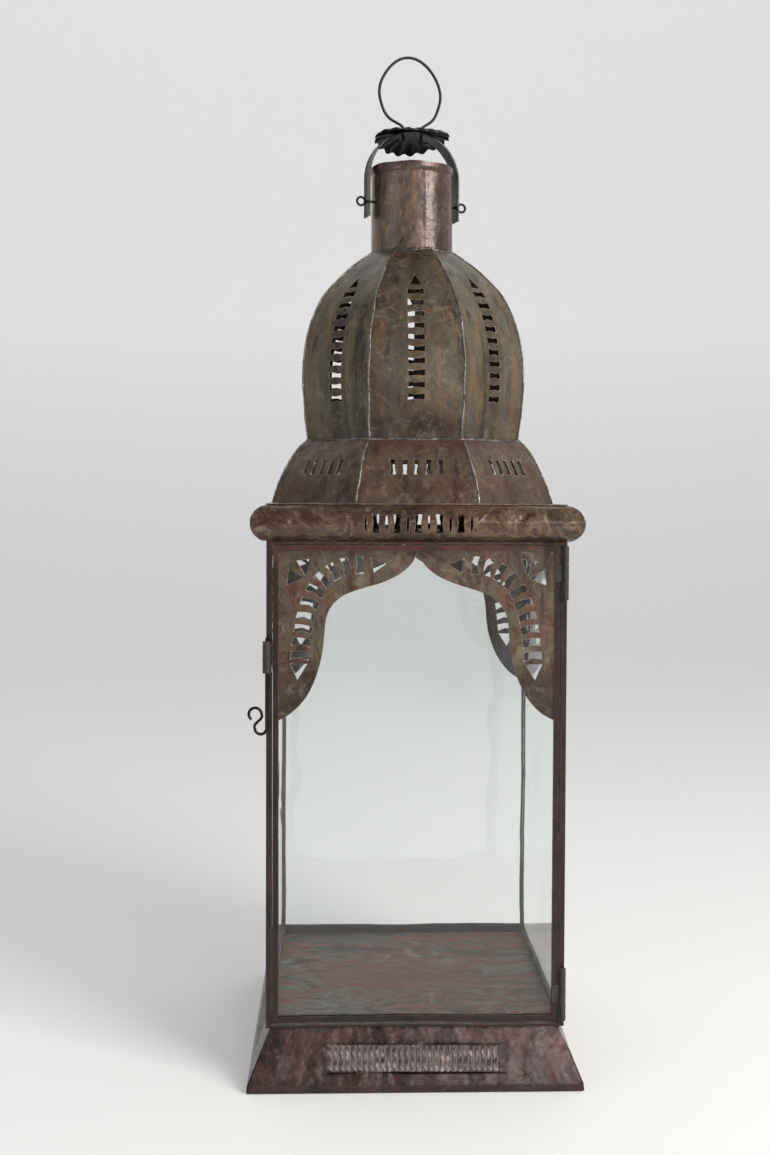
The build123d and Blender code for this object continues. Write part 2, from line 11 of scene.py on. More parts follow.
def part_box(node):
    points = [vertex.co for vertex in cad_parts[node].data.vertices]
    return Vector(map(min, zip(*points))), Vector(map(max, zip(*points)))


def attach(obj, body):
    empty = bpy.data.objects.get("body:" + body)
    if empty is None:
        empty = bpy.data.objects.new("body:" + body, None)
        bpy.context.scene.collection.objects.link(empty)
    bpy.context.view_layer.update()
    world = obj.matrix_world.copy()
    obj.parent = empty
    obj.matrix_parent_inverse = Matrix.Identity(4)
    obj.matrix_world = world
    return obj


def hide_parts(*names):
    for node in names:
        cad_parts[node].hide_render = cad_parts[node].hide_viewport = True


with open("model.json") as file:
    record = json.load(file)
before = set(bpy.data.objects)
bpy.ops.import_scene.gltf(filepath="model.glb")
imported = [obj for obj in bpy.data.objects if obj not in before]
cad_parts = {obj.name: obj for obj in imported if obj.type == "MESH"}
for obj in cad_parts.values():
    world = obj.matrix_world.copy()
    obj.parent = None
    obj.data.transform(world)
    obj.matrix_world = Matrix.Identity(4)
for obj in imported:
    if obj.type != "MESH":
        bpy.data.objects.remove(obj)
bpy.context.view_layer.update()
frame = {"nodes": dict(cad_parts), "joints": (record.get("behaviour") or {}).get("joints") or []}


# ------------------------------------------------------------------ studio and camera
# A pale floor that curves up into a wall far behind, which glows more with height. A large soft
# light stands at the right front, with a small one nearer the front and a weak one at the left.
def studio_surface(name, colour, low_glow, high_glow):
    """A matt pale, faintly cloudy surface. Its glow grows evenly over the first metre up."""
    material = bpy.data.materials.new(name)
    material.use_nodes = True
    nodes, links = material.node_tree.nodes, material.node_tree.links
    cloud = nodes.new("ShaderNodeTexNoise")
    cloud.inputs["Scale"].default_value = 1.5
    ramp = nodes.new("ShaderNodeValToRGB")
    ramp.color_ramp.elements[0].color = (*(0.96 * c for c in colour), 1)
    ramp.color_ramp.elements[1].color = (*colour, 1)
    links.new(cloud.outputs["Fac"], ramp.inputs["Fac"])
    links.new(ramp.outputs["Color"], nodes["Principled BSDF"].inputs["Base Color"])
    nodes["Principled BSDF"].inputs["Roughness"].default_value = 0.7
    nodes["Principled BSDF"].inputs["Emission Color"].default_value = (1, 1, 1, 1)
    height = nodes.new("ShaderNodeSeparateXYZ")
    links.new(nodes.new("ShaderNodeTexCoord").outputs["Object"], height.inputs[0])
    glow = nodes.new("ShaderNodeMapRange")
    glow.inputs[3].default_value = low_glow
    glow.inputs[4].default_value = high_glow
    links.new(height.outputs["Z"], glow.inputs[0])
    links.new(glow.outputs[0], nodes["Principled BSDF"].inputs["Emission Strength"])
    return material


bend_start, bend_radius, wall_top, half_span = 2.0, 2.5, 12.0, 30.0
under_lantern = 0.0004
bend = np.linspace(0, math.pi / 2, 40)
sweep_y = np.concatenate([[-half_span], bend_start + bend_radius * np.sin(bend),
                          [bend_start + bend_radius]])
sweep_z = np.concatenate([[0], bend_radius * (1 - np.cos(bend)), [wall_top]]) - under_lantern
sweep_points = np.repeat(np.stack([0 * sweep_y, sweep_y, sweep_z], axis=1), 2, axis=0)
sweep_points[:, 0] = np.tile([-half_span, half_span], len(sweep_y))
row = np.arange(len(sweep_y) - 1)[:, None] * 2
sweep_mesh = bpy.data.meshes.new("studio_sweep")
sweep_mesh.from_pydata(sweep_points.tolist(), [], (row + np.array([[0, 1, 3, 2]])).tolist())
sweep_mesh.materials.append(studio_surface("studio_pale", (0.82, 0.82, 0.82), 0.14, 0.32))
sweep_mesh.shade_smooth()
sweep = bpy.data.objects.new("studio_sweep", sweep_mesh)
bpy.context.scene.collection.objects.link(sweep)


def soft_light(name, place, target, size, power, colour):
    """A square area light at a place, facing a target point."""
    lamp = bpy.data.lights.new(name, "AREA")
    lamp.size = size
    lamp.color = colour
    lamp.energy = power
    holder = bpy.data.objects.new(name, lamp)
    holder.location = place
    holder.rotation_euler = (Vector(target) - Vector(place)).to_track_quat("-Z", "Y").to_euler()
    bpy.context.scene.collection.objects.link(holder)


soft_light("key", place=(1.15, -1.15, 1.1), target=(0, 0, 0.45), size=0.9, power=32,
           colour=(1.0, 0.955, 0.89))
soft_light("window", place=(0.45, -1.9, 0.72), target=(0, 0, 0.35), size=0.5, power=3,
           colour=(1.0, 0.98, 0.95))
soft_light("fill", place=(-1.6, -0.9, 0.9), target=(0, 0, 0.4), size=1.2, power=5,
           colour=(0.88, 0.97, 1.0))
world = bpy.data.worlds.new("studio")
world.use_nodes = True
world_nodes, world_links = world.node_tree.nodes, world.node_tree.links
direction = world_nodes.new("ShaderNodeSeparateXYZ")
world_links.new(world_nodes.new("ShaderNodeTexCoord").outputs["Generated"], direction.inputs[0])
dim_to_bright = world_nodes.new("ShaderNodeValToRGB")
dim_to_bright.color_ramp.elements[0].color = (0.27, 0.28, 0.29, 1)
dim_to_bright.color_ramp.elements[1].color = (0.68, 0.68, 0.68, 1)
rightward = world_nodes.new("ShaderNodeMapRange")
rightward.inputs[1].default_value = -0.9
rightward.inputs[2].default_value = 1.0
world_links.new(direction.outputs["X"], rightward.inputs[0])
world_links.new(rightward.outputs[0], dim_to_bright.inputs["Fac"])
world_links.new(dim_to_bright.outputs["Color"], world_nodes["Background"].inputs["Color"])
world_nodes["Background"].inputs["Strength"].default_value = 0.8
bpy.context.scene.world = world
bpy.context.scene.view_settings.view_transform = "Standard"

focal_over_height = 1.194632
drop_over_height = 0.041818
camera_place = Vector((-0.05005, -1.03836, 0.40971))
yaw, tilt, roll = (math.radians(angle) for angle in (1.71, -1.69, 0.23))
forward = Vector((math.sin(yaw) * math.cos(tilt), math.cos(yaw) * math.cos(tilt), math.sin(tilt)))
level = Vector((math.cos(yaw), -math.sin(yaw), 0))
upward = level.cross(forward)
across = level * math.cos(roll) + upward * math.sin(roll)
upright = upward * math.cos(roll) - level * math.sin(roll)
lens = bpy.data.cameras.new("camera")
lens.sensor_width = 36
lens.lens = focal_over_height * lens.sensor_width
lens.shift_y = -drop_over_height
camera = bpy.data.objects.new("camera", lens)
facing = Matrix((across, upright, -forward)).transposed()
camera.matrix_world = Matrix.LocRotScale(camera_place, facing, None)
bpy.context.scene.collection.objects.link(camera)
bpy.context.scene.camera = camera


# ------------------------------------------------------------------ skirt base
# Four trapezoid panels of thin sheet iron with a folded hem and a band of wavy slits, whose
# bars are twisted a little like louvres. The panels are soldered together at the corners. All
# the sheet is cut and bent by hand, so nothing is quite flat or straight.
def iron(name, tones, streak, film, worn_and_highlit, tint_and_painted_light=(0.10, 0.035, 0.02), gloss=(0.30, 0.55),
         metal=0.38, hammered=0.25, streaks=1.0, drawn_out=(1, 1, 0.16), clouds=(1, 1, 0.6),
         grain=1.0, coat=0.25):
    """Patinated sheet iron under lacquer.

    Cloudy noise, stretched a little along the sheet, picks one of four tones. Over them lie
    streaks of a warm tone, a second tone where a value that the mesh carries brings it in,
    which is heated metal, rust and dark metal in some places and painted light and shade in
    others, dark stains, a thin pale film, dark specks, pale scuffs, and a pale tone on the
    bevelled edges where another of its values is set, which is rubbed bare metal with a painted
    highlight. Three noises, from hammer marks to scale, raise the surface.
    grain makes the clouds and streaks finer, and coat is the lacquer's weight.
    """
    material = bpy.data.materials.new(name)
    material.use_nodes = True
    nodes, links = material.node_tree.nodes, material.node_tree.links
    shader = nodes["Principled BSDF"]
    place = nodes.new("ShaderNodeTexCoord").outputs["Object"]

    def noise(scale, detail, rough=0.6, drawn=None, distortion=0.0):
        """Noise of a scale per metre; drawn squeezes its coordinates along an axis."""
        texture = nodes.new("ShaderNodeTexNoise")
        texture.inputs["Scale"].default_value = scale
        texture.inputs["Detail"].default_value = detail
        texture.inputs["Roughness"].default_value = rough
        texture.inputs["Distortion"].default_value = distortion
        source = place
        if drawn:
            mapping = nodes.new("ShaderNodeMapping")
            mapping.inputs["Scale"].default_value = drawn
            links.new(place, mapping.inputs["Vector"])
            source = mapping.outputs["Vector"]
        links.new(source, texture.inputs["Vector"])
        return texture.outputs["Fac"]

    def spread(value, low, high, to_low=0.0, to_high=1.0):
        """Stretches the part between low and high over a new range."""
        ranger = nodes.new("ShaderNodeMapRange")
        for socket, number in zip(range(1, 5), (low, high, to_low, to_high)):
            ranger.inputs[socket].default_value = number
        links.new(value, ranger.inputs[0])
        return ranger.outputs[0]

    def times(value, other):
        """One amount times another."""
        product = nodes.new("ShaderNodeMath")
        product.operation = "MULTIPLY"
        links.new(value, product.inputs[0])
        links.new(other, product.inputs[1])
        return product.outputs[0]

    def lay(under, over, amount):
        """Lays one colour over another by an amount that varies over the surface."""
        mix = nodes.new("ShaderNodeMix")
        mix.data_type = "RGBA"
        links.new(amount, mix.inputs["Factor"])
        links.new(under, mix.inputs["A"])
        mix.inputs["B"].default_value = (*over, 1)
        return mix.outputs["Result"]

    def own_value(attribute):
        """A value between 0 and 1 that the mesh carries."""
        reader = nodes.new("ShaderNodeAttribute")
        reader.attribute_name = attribute
        return reader.outputs["Fac"]

    dark = tuple(0.38 * c for c in tones[0])
    ramp = nodes.new("ShaderNodeValToRGB")
    stops = ramp.color_ramp.elements
    while len(stops) < len(tones):
        stops.new(0.5)
    for stop, at, tone in zip(stops, np.linspace(0.41, 0.59, len(tones)), tones):
        stop.position = float(at)
        stop.color = (*tone, 1)
    links.new(noise(34 * grain, 8, 0.78, clouds, 0.8), ramp.inputs["Fac"])
    colour = ramp.outputs["Color"]
    drawn_noise = noise(85 * grain, 6, 0.70, drawn_out, 0.4)
    colour = lay(colour, streak, spread(drawn_noise, 0.47, 0.66, 0, 0.85 * streaks))
    # A second tone, laid where a value that the mesh carries brings it in: a real tint in some
    # places, and painted light and shade in others.
    patchy = spread(noise(38, 6, 0.7, distortion=0.8), 0.34, 0.62, 0.45, 1)
    colour = lay(colour, tint_and_painted_light, times(own_value("tint_and_painted_light"), patchy))
    stains = spread(noise(48 * grain, 5, 0.66, drawn_out), 0.52, 0.68, 0, 0.8)
    colour = lay(colour, dark, stains)
    haze = spread(noise(44 * grain, 8, 0.8, distortion=1.4), 0.53, 0.68, 0, 0.55)
    colour = lay(colour, film, haze)
    specks = spread(noise(650, 3, 0.7), 0.55, 0.75, 0, 0.6)
    colour = lay(colour, dark, specks)
    scuffs = spread(noise(190, 6, 0.8, distortion=0.5), 0.64, 0.74, 0, 0.35)
    colour = lay(colour, worn_and_highlit, scuffs)
    # The pale tone on the bevelled edges: rubbed bare metal, and a painted highlight along each
    # edge.
    rubbed_and_highlit = spread(noise(140, 4, 0.7), 0.36, 0.56, 0.25, 1)
    colour = lay(colour, worn_and_highlit, times(own_value("worn_and_highlit"), rubbed_and_highlit))
    links.new(colour, shader.inputs["Base Color"])
    links.new(spread(noise(90, 6, 0.75), 0.36, 0.64, *gloss), shader.inputs["Roughness"])
    shader.inputs["Metallic"].default_value = metal
    shader.inputs["Coat Weight"].default_value = coat
    shader.inputs["Coat Roughness"].default_value = 0.22
    shader.inputs["IOR"].default_value = 1.5
    surface = None
    for value, strength, distance in (
        (noise(60, 2, 0.5), hammered, 0.004),
        (noise(260, 4, 0.6), 0.20, 0.0009),
        (noise(1300, 2, 0.6), 0.10, 0.0003),
    ):
        bump = nodes.new("ShaderNodeBump")
        bump.inputs["Strength"].default_value = strength
        bump.inputs["Distance"].default_value = distance
        links.new(value, bump.inputs["Height"])
        if surface:
            links.new(surface, bump.inputs["Normal"])
        surface = bump.outputs["Normal"]
    links.new(surface, shader.inputs["Normal"])
    return material


waves = (  # wave length and size of the hand-made unevenness, metres
    (0.260, 0.00038), (0.130, 0.00027), (0.061, 0.00015), (0.029, 0.00008),
)
floor_fade = 0.03  # height over which the unevenness sets in
true_radius, true_fade = 0.004, 0.02  # round a turning line: none, then setting in
turning_lines = [
    (np.array(joint["pos_m"]), np.array(joint["axis"]) / np.linalg.norm(joint["axis"]))
    for joint in frame["joints"]
]


def unevenness(points):
    """How far hand work leaves each point from its true place: sums of crossing sine waves.

    Each wave's size itself rises and falls along another direction. The whole fades to nothing
    at the floor and round the lines that the moving parts turn about, which have to be true. It
    is the same for neighbouring pieces, so their joints stay closed.
    """
    shift = np.zeros_like(points)
    for order, (length, size) in enumerate(waves):
        for axis in range(3):
            turn = 1.7 * order + 2.1 * axis
            along = np.array([math.cos(turn), math.sin(2.3 * turn + 1), math.cos(0.9 * turn + 2)])
            other = np.array([math.sin(turn + 2), math.cos(1.3 * turn), math.sin(1.9 * turn + 4)])
            swell = 0.6 + 0.6 * np.sin(2 * math.pi * (points @ other) / (1.7 * length) + turn)
            shift[:, axis] += size * swell * np.sin(2 * math.pi * (points @ along) / length + turn)
    fade = np.clip(points[:, 2] / floor_fade, 0, 1)
    for start, direction in turning_lines:
        away = np.linalg.norm(np.cross(points - start, direction), axis=1)
        fade = fade * np.clip((away - true_radius) / true_fade, 0, 1)
    return shift * fade[:, None]


def finish_mesh(mesh, material, crease=38):
    """Gives a mesh its material and smooth shading that stops at folds."""
    mesh.materials.clear()
    mesh.materials.append(material)
    mesh.polygons.foreach_set("material_index", np.zeros(len(mesh.polygons), dtype=np.int32))
    mesh.shade_smooth()
    mesh.set_sharp_from_angle(angle=math.radians(crease))
    mesh.update()


def show(name, mesh, body, stands_for=()):
    """Links a finished mesh as a piece that rides on a body and may stand for CAD nodes."""
    piece = bpy.data.objects.new(name, mesh)
    bpy.context.scene.collection.objects.link(piece)
    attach(piece, body)
    if stands_for:
        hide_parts(*stands_for)
    return piece


fold_angle = 0.7  # edges sharper than this, in radians, are bevelled in a pale tone: rubbed metal and a painted highlight
flat_angle = math.radians(0.04)  # faces that meet flatter than this are one face
most_halvings = 9


def hand_worked(node, name, material, body, cell=0.004, edge=0.00018, tint_and_painted_light=None, push=None):
    """The CAD node's own shape, cut into small faces and made uneven, with its edges bevelled in
    a pale tone: rubbed metal, and a painted highlight.

    The copy is merged, its sharp edges are bevelled by the width `edge`, and edges longer than
    a cell are halved until none is left. Every point is moved by the unevenness at its place,
    and by push(points). "worn" is 1 on the bevels and 0 elsewhere, and "warm" is warm(points).
    """
    work = bmesh.new()
    work.from_mesh(frame["nodes"][node].data)
    bmesh.ops.remove_doubles(work, verts=work.verts, dist=1e-6)
    worn_and_highlit = work.faces.layers.int.new("bevelled")
    if edge:
        bmesh.ops.dissolve_limit(
            work, angle_limit=flat_angle, verts=work.verts, edges=work.edges
        )
        sharp = [e for e in work.edges if e.is_manifold and e.calc_face_angle() > fold_angle]
        bevel = bmesh.ops.bevel(
            work, geom=sharp, offset=edge, segments=1, affect="EDGES", profile=0.5,
            offset_type="OFFSET",
        )
        for face in bevel["faces"]:
            face[worn_and_highlit] = 1
        bmesh.ops.triangulate(work, faces=[f for f in work.faces if len(f.verts) > 4])
    for _ in range(most_halvings):
        long_edges = [e for e in work.edges if e.calc_length() > cell]
        if not long_edges:
            break
        bmesh.ops.subdivide_edges(work, edges=long_edges, cuts=1)
        bmesh.ops.triangulate(work, faces=[f for f in work.faces if len(f.verts) > 3])
    mesh = bpy.data.meshes.new(name)
    work.to_mesh(mesh)
    work.free()
    if "custom_normal" in mesh.attributes:
        mesh.attributes.remove(mesh.attributes["custom_normal"])
    bevelled = np.zeros(len(mesh.polygons), dtype=np.int32)
    mesh.attributes["bevelled"].data.foreach_get("value", bevelled)
    corners = np.zeros(len(mesh.polygons), dtype=np.int32)
    mesh.polygons.foreach_get("loop_total", corners)
    mesh.attributes.remove(mesh.attributes["bevelled"])
    mesh.attributes.new("worn_and_highlit", "FLOAT", "CORNER").data.foreach_set(
        "value", np.repeat(bevelled, corners).astype(np.float32)
    )
    points = np.empty(3 * len(mesh.vertices))
    mesh.vertices.foreach_get("co", points)
    points = points.reshape(-1, 3)
    if tint_and_painted_light:
        mesh.attributes.new("tint_and_painted_light", "FLOAT", "POINT").data.foreach_set(
            "value", np.clip(tint_and_painted_light(points), 0, 1).astype(np.float32)
        )
    moved = points + unevenness(points)
    if push:
        moved += push(points)
    mesh.vertices.foreach_set("co", moved.ravel())
    finish_mesh(mesh, material)
    return show(name, mesh, body, (node,))


skirt_iron = iron(
    "skirt_iron", ((0.024, 0.011, 0.010), (0.056, 0.023, 0.020), (0.078, 0.050, 0.052),
                   (0.044, 0.019, 0.018)),
    streak=(0.130, 0.040, 0.022), film=(0.150, 0.120, 0.128), worn_and_highlit=(0.17, 0.12, 0.11),
    # The near-black tone below darkens the hem, and is laid on the bars between the slits as
    # painted shade.
    tint_and_painted_light=(0.017, 0.005, 0.004), gloss=(0.18, 0.40), streaks=0.7, hammered=0.7,
)
slit_pitch = 0.00405
slit_band = (0.0115, 0.0295)
band_half_length = 15 * slit_pitch
louvre_twist = 0.00026
hem_height = 0.009
bar_margin = 0.004
side_turns = {"front": 0, "right": 1, "back": 2, "left": 3}  # quarter turns from the front


def in_front(points, quarter_turns):
    """The points turned about the lantern's axis, so that their side faces the front."""
    turn = -quarter_turns * math.pi / 2
    spin = np.array([[math.cos(turn), -math.sin(turn), 0], [math.sin(turn), math.cos(turn), 0],
                     [0, 0, 1]])
    return points @ spin.T, spin


def louvres(quarter_turns):
    """Moves one edge of each bar between slits out and the other in, by a sine across them."""
    def push(points):
        faced, spin = in_front(points, quarter_turns)
        band = (faced[:, 2] > slit_band[0]) & (faced[:, 2] < slit_band[1])
        band &= np.abs(faced[:, 0]) < band_half_length - slit_pitch / 10
        shift = np.zeros_like(points)
        shift[:, 1] = -louvre_twist * band * np.sin(2 * math.pi * faced[:, 0] / slit_pitch)
        return shift @ spin
    return push


def skirt_hem_and_painted_bar_shade(quarter_turns):
    """1 along the hem and on the bars between the slits, falling to 0 a little way off. The
    near-black tone that it brings in darkens the hem, and is painted shade on the bars.
    """
    def tint_and_painted_light(points):
        faced, _ = in_front(points, quarter_turns)
        hem = 1.3 - faced[:, 2] / hem_height
        from_band = np.maximum(np.abs(faced[:, 2] - sum(slit_band) / 2) - np.ptp(slit_band) / 2,
                               np.abs(faced[:, 0]) - band_half_length)
        return np.maximum(hem, 1 - from_band / bar_margin)
    return tint_and_painted_light


for side, turns in side_turns.items():
    hand_worked(
        f"skirt_{side}", f"skirt_panel_{side}", skirt_iron, "lantern",
        tint_and_painted_light=skirt_hem_and_painted_bar_shade(turns), push=louvres(turns),
    )


def solder_metal(name, bright):
    """Tin solder: mostly darkened with the iron, bare and bright in patches, specked with flux.

    bright scales the bare tin's colour.
    """
    tin = tuple(bright * c for c in (0.42, 0.41, 0.40))
    return iron(
        name, ((0.050, 0.045, 0.040), tuple(0.4 * c for c in tin), tin, (0.030, 0.026, 0.022)),
        streak=tuple(0.5 * c for c in tin), film=tin, worn_and_highlit=tin, gloss=(0.26, 0.48), metal=0.6,
        streaks=0.5,
    )


def swept(name, grids, material, closed_along=False, crease=60):
    """Joins grids of points (steps along, points round, 3) into tubes of four-sided faces.

    The last point round joins the first. A tube that is open along its length gets a face at
    each end.
    """
    corners, faces, first = [], [], 0
    for grid in grids:
        steps, around = grid.shape[:2]
        step = np.arange(steps if closed_along else steps - 1)[:, None]
        spoke = np.arange(around)[None, :]
        following, beside = (step + 1) % steps, (spoke + 1) % around
        quads = np.stack([step * around + spoke, step * around + beside,
                          following * around + beside, following * around + spoke], axis=-1)
        faces += (first + quads.reshape(-1, 4)).tolist()
        if not closed_along:
            faces.append((first + np.arange(around)[::-1]).tolist())
            faces.append((first + (steps - 1) * around + np.arange(around)).tolist())
        corners.append(grid.reshape(-1, 3))
        first += steps * around
    mesh = bpy.data.meshes.new(name)
    mesh.from_pydata(np.concatenate(corners).tolist(), [], faces)
    work = bmesh.new()
    work.from_mesh(mesh)
    bmesh.ops.recalc_face_normals(work, faces=work.faces)
    work.to_mesh(mesh)
    work.free()
    finish_mesh(mesh, material, crease)
    return mesh


def bead(path, outward, half_width, rise, seed, closed=False, lumps=0.28):
    """A run of solder: a flat ellipse carried along a path, swelling and thinning at random.

    The ellipse lies across the path and rises along outward. Its size is multiplied by one plus
    a sum of sine waves of uneven lengths, and shrinks at the two ends of an open run.
    """
    path = path + unevenness(path)
    if closed:
        heading = np.roll(path, -1, axis=0) - np.roll(path, 1, axis=0)
    else:
        heading = np.gradient(path, axis=0)
    heading /= np.linalg.norm(heading, axis=1, keepdims=True)
    across = np.cross(heading, outward)
    across /= np.linalg.norm(across, axis=1, keepdims=True)
    steps = np.linalg.norm(np.diff(path, axis=0, prepend=path[:1]), axis=1)
    run = np.cumsum(steps)
    dice = np.random.default_rng(seed)
    swell = np.ones_like(run)
    for length in (0.0035, 0.0061, 0.0102, 0.023, 0.047):
        swell += lumps * dice.uniform(0.4, 1) * np.sin(2 * math.pi * run / length
                                                       + dice.uniform(0, 2 * math.pi)) / 2
    swell = np.clip(swell, 0.35, 1.9)
    if not closed:
        swell *= np.sqrt(np.clip(np.minimum(run, run[-1] - run) / (3 * half_width), 0.02, 1))
    round_it = np.linspace(0, 2 * math.pi, 8, endpoint=False)
    side_part = half_width * np.cos(round_it)[None, :, None] * across[:, None, :]
    rise_part = rise * np.sin(round_it)[None, :, None] * outward[:, None, :]
    wander = half_width * 0.35 * np.sin(2 * math.pi * run / 0.031 + seed)[:, None] * across
    return (path + wander)[:, None, :] + swell[:, None, None] * (side_part + rise_part)


solder = solder_metal("solder", 0.62)
old_solder = solder_metal("old_solder", 0.3)
skirt_low, skirt_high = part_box("skirt_front")
base_half = -skirt_low[1]
skirt_flare = 0.0155
seam_depth = 0.0010  # the solder's middle lies this far inside the corner
seam_foot, seam_head = 0.0008, 0.0004  # left free at the floor and at the skirt's top edge
corner_runs = []
for index in range(4):
    angle = math.radians(45 + 90 * index)
    away = np.array([math.cos(angle), math.sin(angle), 0])
    height = np.linspace(seam_foot, skirt_high[2] - seam_head, 40)
    distance = base_half - skirt_flare * height / skirt_high[2]
    path = distance[:, None] * math.sqrt(2) * away + height[:, None] * np.array([0, 0, 1])
    path -= seam_depth * away
    corner_runs.append(bead(path, np.tile(away, (40, 1)), half_width=0.0009, rise=0.0008,
                            seed=3 + index))
show("skirt_corner_solder", swept("skirt_corner_solder", corner_runs, solder), "lantern",
     ("skirt_corner_seams",))


# ------------------------------------------------------------------ floor pan
# A square of sheet iron laid in the foot of the glazed box. It carries the candle. Its patina
# lies in wavy grey-green and rust bands across the sheet, rustiest under the candle.
floor_iron = iron(
    "floor_iron", ((0.070, 0.032, 0.020), (0.200, 0.225, 0.180), (0.170, 0.050, 0.026),
                   (0.095, 0.110, 0.080)),
    streak=(0.300, 0.080, 0.036), film=(0.420, 0.450, 0.360), worn_and_highlit=(0.30, 0.30, 0.25),
    tint_and_painted_light=(0.210, 0.060, 0.028), gloss=(0.55, 0.75), metal=0.1, streaks=1.15,
    drawn_out=(0.3, 1, 1), clouds=(0.5, 1, 1), hammered=0.5, grain=0.6, coat=0.0,
)
rust_oval = (0.075, 0.060)


def middle_rust(points):
    """Above 1 in the middle of the pan, less the distance from it in half widths of an oval."""
    return 1.25 - np.hypot(points[:, 0] / rust_oval[0], points[:, 1] / rust_oval[1])


hand_worked("floor_pan", "floor_pan_sheet", floor_iron, "lantern",
            tint_and_painted_light=middle_rust)


# ------------------------------------------------------------------ box frame
# Four corner posts folded from sheet iron, and bars that close the box at the bottom and the
# top, soldered together. The folded channels hold the panes.
frame_iron = iron(
    "frame_iron", ((0.006, 0.005, 0.004), (0.013, 0.010, 0.008), (0.028, 0.009, 0.006),
                   (0.012, 0.011, 0.009)),
    streak=(0.040, 0.012, 0.007), film=(0.050, 0.040, 0.034), worn_and_highlit=(0.13, 0.090, 0.078),
    # The lighter, redder tone below is a painted sheen, laid on the bars round the box's top.
    tint_and_painted_light=(0.080, 0.028, 0.018), gloss=(0.24, 0.44), streaks=0.9, grain=1.5, coat=0.1,
)
header_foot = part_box("top_rails")[0][2] - 0.012
header_fade = 0.006


def header_painted_sheen(points):
    """Rises evenly to 1 at the bars round the box's top, where a lighter, redder tone is laid on
    as a painted sheen.
    """
    return (points[:, 2] - header_foot) / header_fade


for post in ("front_left", "front_right", "back_right", "back_left"):
    hand_worked(f"post_{post}", f"corner_post_{post}", frame_iron, "lantern",
                edge=0.00025)
for rails in ("bottom_rails", "top_rails"):
    hand_worked(rails, f"{rails}_worked", frame_iron, "lantern", edge=0.00025,
                tint_and_painted_light=header_painted_sheen)


# ------------------------------------------------------------------ panes and brackets
# Three panes of clear window glass stand in the frame's grooves. In front of each lie two
# corner brackets of thin iron, cut to an arch and pierced with a ladder of chisel cuts.
def window_glass():
    """Clear glass with a faint grey-green tint, slightly wavy as drawn glass is."""
    material = bpy.data.materials.new("window_glass")
    material.use_nodes = True
    nodes, links = material.node_tree.nodes, material.node_tree.links
    shader = nodes["Principled BSDF"]
    shader.inputs["Base Color"].default_value = (0.955, 0.975, 0.965, 1)
    shader.inputs["Transmission Weight"].default_value = 1.0
    shader.inputs["Roughness"].default_value = 0.0
    shader.inputs["IOR"].default_value = 1.45
    place = nodes.new("ShaderNodeTexCoord").outputs["Object"]
    drawn = nodes.new("ShaderNodeTexNoise")
    drawn.inputs["Scale"].default_value = 14
    drawn.inputs["Detail"].default_value = 1
    links.new(place, drawn.inputs["Vector"])
    bump = nodes.new("ShaderNodeBump")
    bump.inputs["Strength"].default_value = 0.014
    bump.inputs["Distance"].default_value = 0.002
    links.new(drawn.outputs["Fac"], bump.inputs["Height"])
    links.new(bump.outputs["Normal"], shader.inputs["Normal"])
    return material


glass = window_glass()
bracket_iron = iron(
    "bracket_iron", ((0.034, 0.015, 0.010), (0.108, 0.070, 0.044), (0.080, 0.079, 0.053),
                     (0.074, 0.023, 0.014)),
    streak=(0.150, 0.048, 0.022), film=(0.250, 0.205, 0.155), worn_and_highlit=(0.40, 0.33, 0.29),
    tint_and_painted_light=(0.012, 0.004, 0.003), gloss=(0.22, 0.44), streaks=0.8, grain=1.5,
)
header_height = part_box("top_rails")[1][2]
tip_drop, tip_fade, rim_fade = 0.075, 0.03, 0.016


def low_and_rim_warm(points):
    """Falls evenly to 0 below the header, and rises again to 1 towards a bracket's low tip."""
    drop = header_height - points[:, 2]
    return np.maximum(np.clip((drop - tip_drop) / tip_fade, 0, 1),
                      np.clip(1 - drop / rim_fade, 0, 1))


for side in ("right", "back", "left"):
    hand_worked(f"glass_{side}", f"pane_{side}", glass, "lantern", cell=0.02, edge=0)
    hand_worked(f"brackets_{side}", f"bracket_pair_{side}", bracket_iron, "lantern",
                edge=0.00022, tint_and_painted_light=low_and_rim_warm)


# ------------------------------------------------------------------ door
# The whole front is a door: four mitred channels soldered round a pane, with its own pair of
# brackets. It hangs on two hinges at the right and closes against the left post.
for member in ("door_bottom_rail", "door_top_rail", "door_latch_stile", "door_hinge_stile"):
    hand_worked(member, f"{member}_channel", frame_iron, "door", edge=0.00025,
                tint_and_painted_light=header_painted_sheen)
hand_worked("door_glass", "door_pane", glass, "door", cell=0.02, edge=0)
hand_worked("door_brackets", "door_bracket_pair", bracket_iron, "door",
            edge=0.00022, tint_and_painted_light=low_and_rim_warm)


# ------------------------------------------------------------------ hinges
# Two hinges of rolled sheet iron. Each has two knuckles soldered to the post and one to the
# door's stile, on a wire pin.
black_iron = iron(
    "black_iron", ((0.002, 0.002, 0.002), (0.005, 0.004, 0.003), (0.007, 0.005, 0.004),
                   (0.004, 0.003, 0.003)),
    streak=(0.012, 0.007, 0.004), film=(0.013, 0.011, 0.009), worn_and_highlit=(0.10, 0.09, 0.08),
    gloss=(0.38, 0.6), streaks=0.5, metal=0.75,
)
hinge_iron = iron(
    "hinge_iron", ((0.010, 0.010, 0.009), (0.024, 0.023, 0.020), (0.038, 0.034, 0.029),
                   (0.018, 0.016, 0.014)),
    streak=(0.052, 0.034, 0.022), film=(0.075, 0.072, 0.064), worn_and_highlit=(0.17, 0.15, 0.13),
    gloss=(0.30, 0.50), streaks=0.6, grain=1.5,
)
hand_worked("hinge_frame_knuckles", "hinge_knuckles_post", hinge_iron, "lantern")
hand_worked("hinge_door_knuckles", "hinge_knuckles_door", hinge_iron, "door")
hand_worked("hinge_pins", "hinge_pin_wires", black_iron, "lantern")


